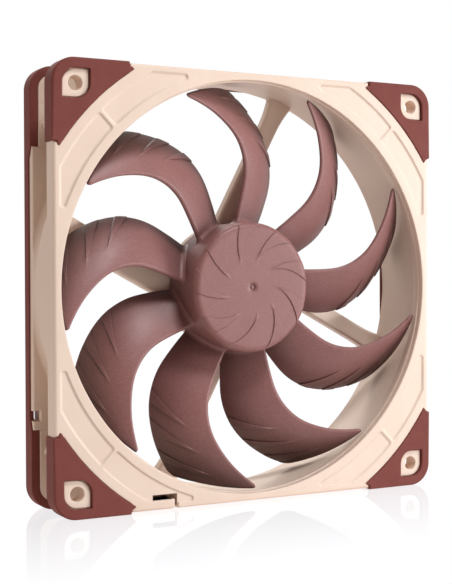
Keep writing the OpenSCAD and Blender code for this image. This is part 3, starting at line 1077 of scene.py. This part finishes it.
def build_impeller(material):
    shells = Shells()
    hub(shells)
    blades(shells)
    build_piece("bladed_rotor", shells, material, "rotor", ["impeller"])


# ---- materials ----


class Nodes:
    """Small helper that adds nodes to one node tree."""

    def __init__(self, tree):
        self.tree = tree
        self.coords = self.add("TexCoord").outputs
        self.place = self.coords["Object"]

    def link(self, a, b):
        self.tree.links.new(a, b)

    def put(self, value, socket):
        """Links an output to a socket, or sets the socket to a number, vector or colour."""
        if isinstance(value, bpy.types.NodeSocket):
            self.link(value, socket)
        else:
            socket.default_value = (*value, 1) if socket.type == "RGBA" else value

    def add(self, kind, **inputs):
        """New node with some inputs. An underscore in an input's name stands for a space."""
        node = self.tree.nodes.new("ShaderNode" + kind)
        for name, value in inputs.items():
            self.put(value, node.inputs[name.replace("_", " ")])
        return node

    def math(self, kind, a, b=0):
        node = self.add("Math")
        node.operation = kind
        for value, socket in zip((a, b), node.inputs):
            self.put(value, socket)
        return node.outputs[0]

    def vector_math(self, kind, *values):
        """Outputs of a vector operation."""
        node = self.add("VectorMath")
        node.operation = kind
        for value, socket in zip(values, node.inputs):
            self.put(value, socket)
        return node.outputs

    def ramp(self, source, from_low, from_high, to_low, to_high):
        node = self.add("MapRange", Value=source, From_Min=from_low, From_Max=from_high,
                        To_Min=to_low, To_Max=to_high)
        return node.outputs["Result"]

    def mix(self, factor, a, b):
        node = self.add("Mix")
        node.data_type = "RGBA"
        for value, number in ((factor, 0), (a, 6), (b, 7)):
            self.put(value, node.inputs[number])
        return node.outputs[2]


class Paint(Nodes):
    """Adds nodes to one new material."""

    def __init__(self, name):
        self.material = bpy.data.materials.new(name)
        self.material.use_nodes = True
        super().__init__(self.material.node_tree)
        self.shader = self.tree.nodes["Principled BSDF"]

    def set(self, **values):
        for name, value in values.items():
            self.put(value, self.shader.inputs[name.replace("_", " ")])

    def noise(self, size_mm, detail, roughness, stretch=None):
        """Noise whose features are about size_mm wide."""
        place = self.place
        if stretch:
            place = self.add("Mapping", Vector=place, Scale=stretch).outputs["Vector"]
        node = self.add("TexNoise", Vector=place, Scale=1 / (size_mm * MM), Detail=detail,
                        Roughness=roughness)
        return node.outputs["Fac"]

    def drift(self, noise, low, high):
        """Slow change between two colours."""
        return self.mix(self.ramp(noise, 0.35, 0.65, 0, 1), low, high)

    def tint(self, colour, mask, strength, towards):
        """Colour moved towards another where the mask is 1."""
        return self.mix(self.math("MULTIPLY", mask, strength), colour, towards)

    def edges(self, radius_mm):
        """Rounded normal, and 1 on edges narrower than radius_mm and 0 on open faces."""
        bevel = self.add("Bevel", Radius=radius_mm * MM)
        bevel.samples = 6
        rounded = bevel.outputs["Normal"]
        shape = self.add("NewGeometry").outputs["Normal"]
        likeness = self.vector_math("DOT_PRODUCT", rounded, shape)["Value"]
        return rounded, self.ramp(likeness, 0.99, 0.8, 0.0, 1.0)

    def shade_in_hollows(self, reach_mm):
        """Mask for painted shade: 1 deep in corners and gaps, 0 on open faces."""
        node = self.add("AmbientOcclusion", Distance=reach_mm * MM)
        node.samples = 6
        return self.ramp(node.outputs["AO"], 0.8, 0.25, 0.0, 1.0)

    def bump(self, height, depth_mm, strength, normal=None):
        node = self.add("Bump", Height=height, Distance=depth_mm * MM, Strength=strength)
        if normal:
            self.link(normal, node.inputs["Normal"])
        return node.outputs["Normal"]

    def finish(self, colour, roughness, normal):
        self.set(Base_Color=colour, Roughness=roughness, Normal=normal)
        return self.material


def beige_plastic():
    paint = Paint("beige_plastic")
    paint.set(IOR=1.46)
    normal, edge = paint.edges(0.3)
    grain = paint.noise(0.22, 2, 0.6)
    flow = paint.noise(3.2, 4, 0.6, (1, 1, 0.25))
    colour = paint.drift(paint.noise(14, 3, 0.5), (0.77, 0.645, 0.533), (0.795, 0.67, 0.558))
    colour = paint.mix(paint.ramp(flow, 0.45, 0.7, 0, 0.35), colour, (0.755, 0.625, 0.51))
    # Painted highlight: the colour is lightened along the edges, where light catches them.
    colour = paint.tint(colour, edge, 0.35, (0.88, 0.77, 0.66))
    # Painted shade: a warm darkening in corners, gaps and recesses.
    colour = paint.tint(colour, paint.shade_in_hollows(7), 0.45, (0.66, 0.44, 0.34))
    roughness = paint.ramp(grain, 0.3, 0.7, 0.40, 0.52)
    roughness = paint.math("SUBTRACT", roughness, paint.math("MULTIPLY", edge, 0.06))
    return paint.finish(colour, roughness, paint.bump(grain, 0.012, 0.5, normal))


def brown_silicone():
    paint = Paint("brown_silicone")
    paint.set(IOR=1.36, Sheen_Weight=0.03, Sheen_Roughness=0.5, Sheen_Tint=(0.9, 0.7, 0.75))
    normal, edge = paint.edges(0.25)
    dust = paint.noise(0.5, 3, 0.65)
    colour = paint.drift(paint.noise(9, 3, 0.55), (0.172, 0.043, 0.034), (0.192, 0.051, 0.041))
    colour = paint.mix(paint.ramp(dust, 0.6, 0.85, 0, 0.25), colour, (0.24, 0.10, 0.085))
    # Painted highlight: the colour is lightened along the rounded edges.
    colour = paint.tint(colour, edge, 0.3, (0.22, 0.08, 0.068))
    roughness = paint.ramp(dust, 0.3, 0.7, 0.62, 0.78)
    return paint.finish(colour, roughness, paint.bump(dust, 0.015, 0.5, normal))


def rotor_plastic():
    paint = Paint("rotor_plastic")
    paint.set(IOR=1.5)
    _, edge = paint.edges(0.4)
    speck = paint.noise(0.42, 2, 0.6)
    fibre = paint.noise(1.3, 3, 0.65, (1, 1, 2.5))
    colour = paint.drift(paint.noise(11, 3, 0.55), (0.252, 0.113, 0.106), (0.277, 0.128, 0.121))
    colour = paint.mix(paint.ramp(speck, 0.52, 0.75, 0, 0.5), colour, (0.40, 0.235, 0.225))
    colour = paint.mix(paint.ramp(fibre, 0.55, 0.3, 0, 0.35), colour, (0.19, 0.08, 0.07))
    # Lighter along the edges: partly edge wear, partly a painted highlight.
    colour = paint.tint(colour, edge, 0.3, (0.44, 0.29, 0.28))
    # Painted shade: near-black darkening between the blades, at their roots and on the hub's side wall.
    colour = paint.tint(colour, paint.shade_in_hollows(30), 0.95, (0.03, 0.008, 0.006))
    roughness = paint.ramp(speck, 0.3, 0.7, 0.38, 0.56)
    return paint.finish(colour, roughness, paint.bump(speck, 0.03, 0.6))


def metal(name, colour_low, colour_high, rough_low, rough_high, stretch, size_mm=0.6):
    """Metal with brushed or turned marks, colour drift and a fine bump."""
    paint = Paint(name)
    paint.set(Metallic=1.0)
    marks = paint.noise(size_mm, 4, 0.6, stretch)
    colour = paint.drift(paint.noise(4, 3, 0.55), colour_low, colour_high)
    roughness = paint.ramp(marks, 0.3, 0.7, rough_low, rough_high)
    return paint.finish(colour, roughness, paint.bump(marks, 0.01, 0.4))


def moulding(name, colour_low, colour_high, rough_low, rough_high, size_mm=0.3):
    """Plain moulded or printed material with a fine grain and a slow drift of colour."""
    paint = Paint(name)
    grain = paint.noise(size_mm, 3, 0.6)
    colour = paint.drift(paint.noise(6, 3, 0.5), colour_low, colour_high)
    roughness = paint.ramp(grain, 0.3, 0.7, rough_low, rough_high)
    return paint.finish(colour, roughness, paint.bump(grain, 0.01, 0.5))


def copper_wire():
    """Enamelled wire: fine turns side by side round each pole."""
    paint = Paint("copper_wire")
    paint.set(Metallic=1.0, Coat_Weight=0.6, Coat_Roughness=0.2)
    turns = paint.add("TexWave", Vector=paint.place, Scale=1600, Distortion=1.2).outputs["Fac"]
    # Painted shade and highlight: darker in the grooves between the turns and brighter on their crests.
    colour = paint.mix(turns, (0.36, 0.12, 0.04), (0.72, 0.33, 0.14))
    return paint.finish(colour, paint.ramp(turns, 0, 1, 0.5, 0.3), paint.bump(turns, 0.08, 0.8))


def label_film():
    """Plain label with a thin ring printed near its edge and one round its middle."""
    paint = Paint("label_film")
    flat = paint.vector_math("MULTIPLY_ADD", paint.place, (1, 0, 1), (0, 0, -half_w * MM))["Vector"]
    distance = paint.vector_math("LENGTH", flat)["Value"]
    weave = paint.noise(0.35, 3, 0.6)
    colour = paint.mix(paint.ramp(weave, 0.3, 0.7, 0, 1), (0.71, 0.60, 0.49), (0.74, 0.63, 0.52))
    for ring_r, width in ((16.6, 0.35), (7.5, 0.25)):
        off = paint.math("ABSOLUTE", paint.math("SUBTRACT", distance, ring_r * MM))
        line = paint.ramp(off, width * MM, (width + 0.06) * MM, 1, 0)
        colour = paint.mix(line, colour, (0.19, 0.075, 0.06))
    return paint.finish(colour, paint.ramp(weave, 0.3, 0.7, 0.36, 0.46), paint.bump(weave, 0.008, 0.5))


def paint_inner_parts():
    """Materials for the CAD pieces of the motor and the label that stay as they are."""
    bright = (1, 1, 12)
    steel = metal("plated_steel", (0.56, 0.57, 0.58), (0.64, 0.65, 0.66), 0.25, 0.4, bright)
    ground = metal("ground_steel", (0.66, 0.67, 0.69), (0.72, 0.73, 0.75), 0.1, 0.2, (1, 14, 1))
    spring = metal("spring_steel", (0.16, 0.17, 0.22), (0.22, 0.22, 0.26), 0.3, 0.45, (4, 1, 4))
    laminated = metal("laminations", (0.30, 0.31, 0.33), (0.40, 0.41, 0.43), 0.35, 0.55, (0.2, 14, 0.2))
    brass = metal("turned_brass", (0.70, 0.52, 0.22), (0.78, 0.60, 0.28), 0.2, 0.34, (1, 12, 1))
    bronze = metal("sintered_bronze", (0.45, 0.31, 0.17), (0.52, 0.38, 0.22), 0.5, 0.65, (1, 1, 1), 0.25)
    ferrite = moulding("bonded_ferrite", (0.03, 0.03, 0.033), (0.045, 0.045, 0.05), 0.5, 0.65)
    looks = {
        "rotor_yoke": steel,
        "terminal_pins": steel,
        "shaft": ground,
        "retaining_clip": spring,
        "stator_core": laminated,
        "shaft_boss": brass,
        "bearing_tube": brass,
        "bearing_sleeve": bronze,
        "ring_magnet": ferrite,
        "stabilising_magnet": ferrite,
        "oil_seal_washer": moulding("seal_rubber", (0.02, 0.02, 0.02), (0.03, 0.03, 0.03), 0.6, 0.75),
        "thrust_disc": moulding("bearing_polymer", (0.74, 0.71, 0.60), (0.78, 0.75, 0.65), 0.2, 0.3),
        "front_insulator": moulding("bobbin_plastic", (0.70, 0.66, 0.54), (0.75, 0.71, 0.60), 0.4, 0.5),
        "windings": copper_wire(),
        "circuit_board": moulding("solder_mask", (0.02, 0.12, 0.05), (0.03, 0.15, 0.07), 0.25, 0.35),
        "driver_chip": moulding("chip_package", (0.02, 0.02, 0.022), (0.03, 0.03, 0.03), 0.4, 0.5, 0.15),
        "smd_parts": moulding("ceramic_chips", (0.45, 0.36, 0.25), (0.55, 0.47, 0.35), 0.3, 0.45),
        "hub_label": label_film(),
    }
    looks["rear_insulator"] = looks["front_insulator"]
    looks["hall_sensor"] = looks["driver_chip"]
    for node, material in looks.items():
        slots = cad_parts[node].data.materials
        slots.clear()
        slots.append(material)


# ---- studio ----


room = (0.2, 0.128, 0.11)                 # what the fan sees of the room, linear colour
backdrop_white = 0.6                      # how bright the backdrop is to the fan
backdrop_side = (0.25, 0.968, 0)          # and the direction it lies in
floor_fill = (0.35, 1.45)                 # how bright the table is to the fan, left and right
floor_tint = (1.0, 0.88, 0.85)            # and its colour
floor_white, floor_colour = 1.02, (0.985, 0.985, 1.0)   # the same to the camera
floor_gloss = 0.35
gloss_fade = (0.012, 0.085)               # where the gloss begins and ends to fade, metres


def build_floor():
    """Glossy white table, overexposed to pure white. Its gloss fades out in front of the fan
    and behind it, and the glow makes room for the white backdrop that the gloss mirrors."""
    reach, fill_reach = 3.0, 0.35
    mesh = bpy.data.meshes.new("floor")
    mesh.from_pydata([(-reach, -reach, 0), (reach, -reach, 0), (reach, reach, 0), (-reach, reach, 0)],
                     [], [(0, 1, 2, 3)])
    floor = bpy.data.objects.new("floor", mesh)
    bpy.context.scene.collection.objects.link(floor)
    paint = Paint("floor_gloss")
    paint.tree.nodes.remove(paint.shader)
    parts = paint.add("SeparateXYZ", Vector=paint.place).outputs
    share = paint.ramp(paint.math("ABSOLUTE", parts["Y"]), *gloss_fade, floor_gloss, 0.0)
    seen = paint.add("LightPath").outputs["Is Camera Ray"]
    fill = paint.ramp(parts["X"], -fill_reach, fill_reach, *floor_fill)
    strength = paint.math("MULTIPLY", fill, paint.math("SUBTRACT", 1, seen))
    strength = paint.math("ADD", strength, paint.math("MULTIPLY", seen, floor_white))
    strength = paint.math("SUBTRACT", strength, paint.math("MULTIPLY", share, backdrop_white))
    glow = paint.add("Emission", Strength=strength, Color=paint.mix(seen, floor_tint, floor_colour))
    gloss = paint.add("BsdfGlossy", Color=paint.mix(share, (0, 0, 0), (1, 1, 1)), Roughness=0.05)
    both = paint.add("AddShader")
    paint.link(glow.outputs[0], both.inputs[0])
    paint.link(gloss.outputs[0], both.inputs[1])
    paint.link(both.outputs[0], paint.tree.nodes["Material Output"].inputs[0])
    mesh.materials.append(paint.material)


def build_world():
    """White to the camera. To everything else it is a dim warm room with a white backdrop
    behind the fan."""
    world = bpy.data.worlds.new("studio")
    bpy.context.scene.world = world
    world.use_nodes = True
    nodes = Nodes(world.node_tree)
    facing = nodes.vector_math("DOT_PRODUCT", nodes.coords["Generated"], backdrop_side)["Value"]
    backdrop = nodes.ramp(facing, 0.0, 0.35, 0.0, backdrop_white)
    seen = nodes.add("LightPath").outputs["Is Camera Ray"]
    colour = nodes.mix(nodes.math("MAXIMUM", backdrop, seen), room, (1, 1, 1))
    nodes.put(colour, world.node_tree.nodes["Background"].inputs["Color"])


def add_light(name, place, power, width, height, colour):
    """Rectangular lamp aimed at the middle of the fan and hidden from the camera, in metres."""
    light = bpy.data.lights.new(name, "AREA")
    light.energy = power
    light.shape = "RECTANGLE"
    light.size = width
    light.size_y = height
    light.color = colour
    lamp = bpy.data.objects.new(name, light)
    lamp.visible_camera = False
    lamp.location = place
    aim = Vector((0, 0, half_w * MM)) - lamp.location
    lamp.rotation_euler = aim.to_track_quat("-Z", "Y").to_euler()
    bpy.context.scene.collection.objects.link(lamp)


def build_lights():
    add_light("key", (0.62, -0.52, 0.14), 3.6, 0.3, 0.2, (0.97, 0.98, 1.0))
    add_light("left", (-1.0, 0.0, 0.1), 1.7, 0.06, 0.2, (1.0, 0.88, 0.79))
    add_light("top", (0.15, -0.55, 0.95), 6.6, 0.25, 0.25, (0.98, 0.98, 1.0))
    add_light("back", (0.0, 0.6, 0.75), 2.5, 0.5, 0.3, (1.0, 0.95, 0.9))


def build_camera():
    """Looks from the left of the fan at the height of its axis, 28 degrees off it and one
    degree down."""
    data = bpy.data.cameras.new("camera")
    data.sensor_width = 36
    data.lens = 75.67
    camera = bpy.data.objects.new("camera", data)
    ahead = Vector((0.47252511, 0.88112018, -0.01863463))
    right = Vector((0.88124412, -0.4726526, -0.00288573))
    up = right.cross(ahead)
    place = Vector((-0.197645, -0.360353, 0.075942))
    camera.matrix_world = Matrix((
        (right.x, up.x, -ahead.x, place.x),
        (right.y, up.y, -ahead.y, place.y),
        (right.z, up.z, -ahead.z, place.z),
        (0, 0, 0, 1)))
    bpy.context.scene.collection.objects.link(camera)
    bpy.context.scene.camera = camera


build_camera()
build_frame(beige_plastic())
silicone = brown_silicone()
for corner in corners:
    build_pad(corner, silicone)
build_gasket(silicone)
build_impeller(rotor_plastic())
paint_inner_parts()
build_floor()
build_world()
build_lights()
bpy.context.scene.view_settings.view_transform = "Standard"
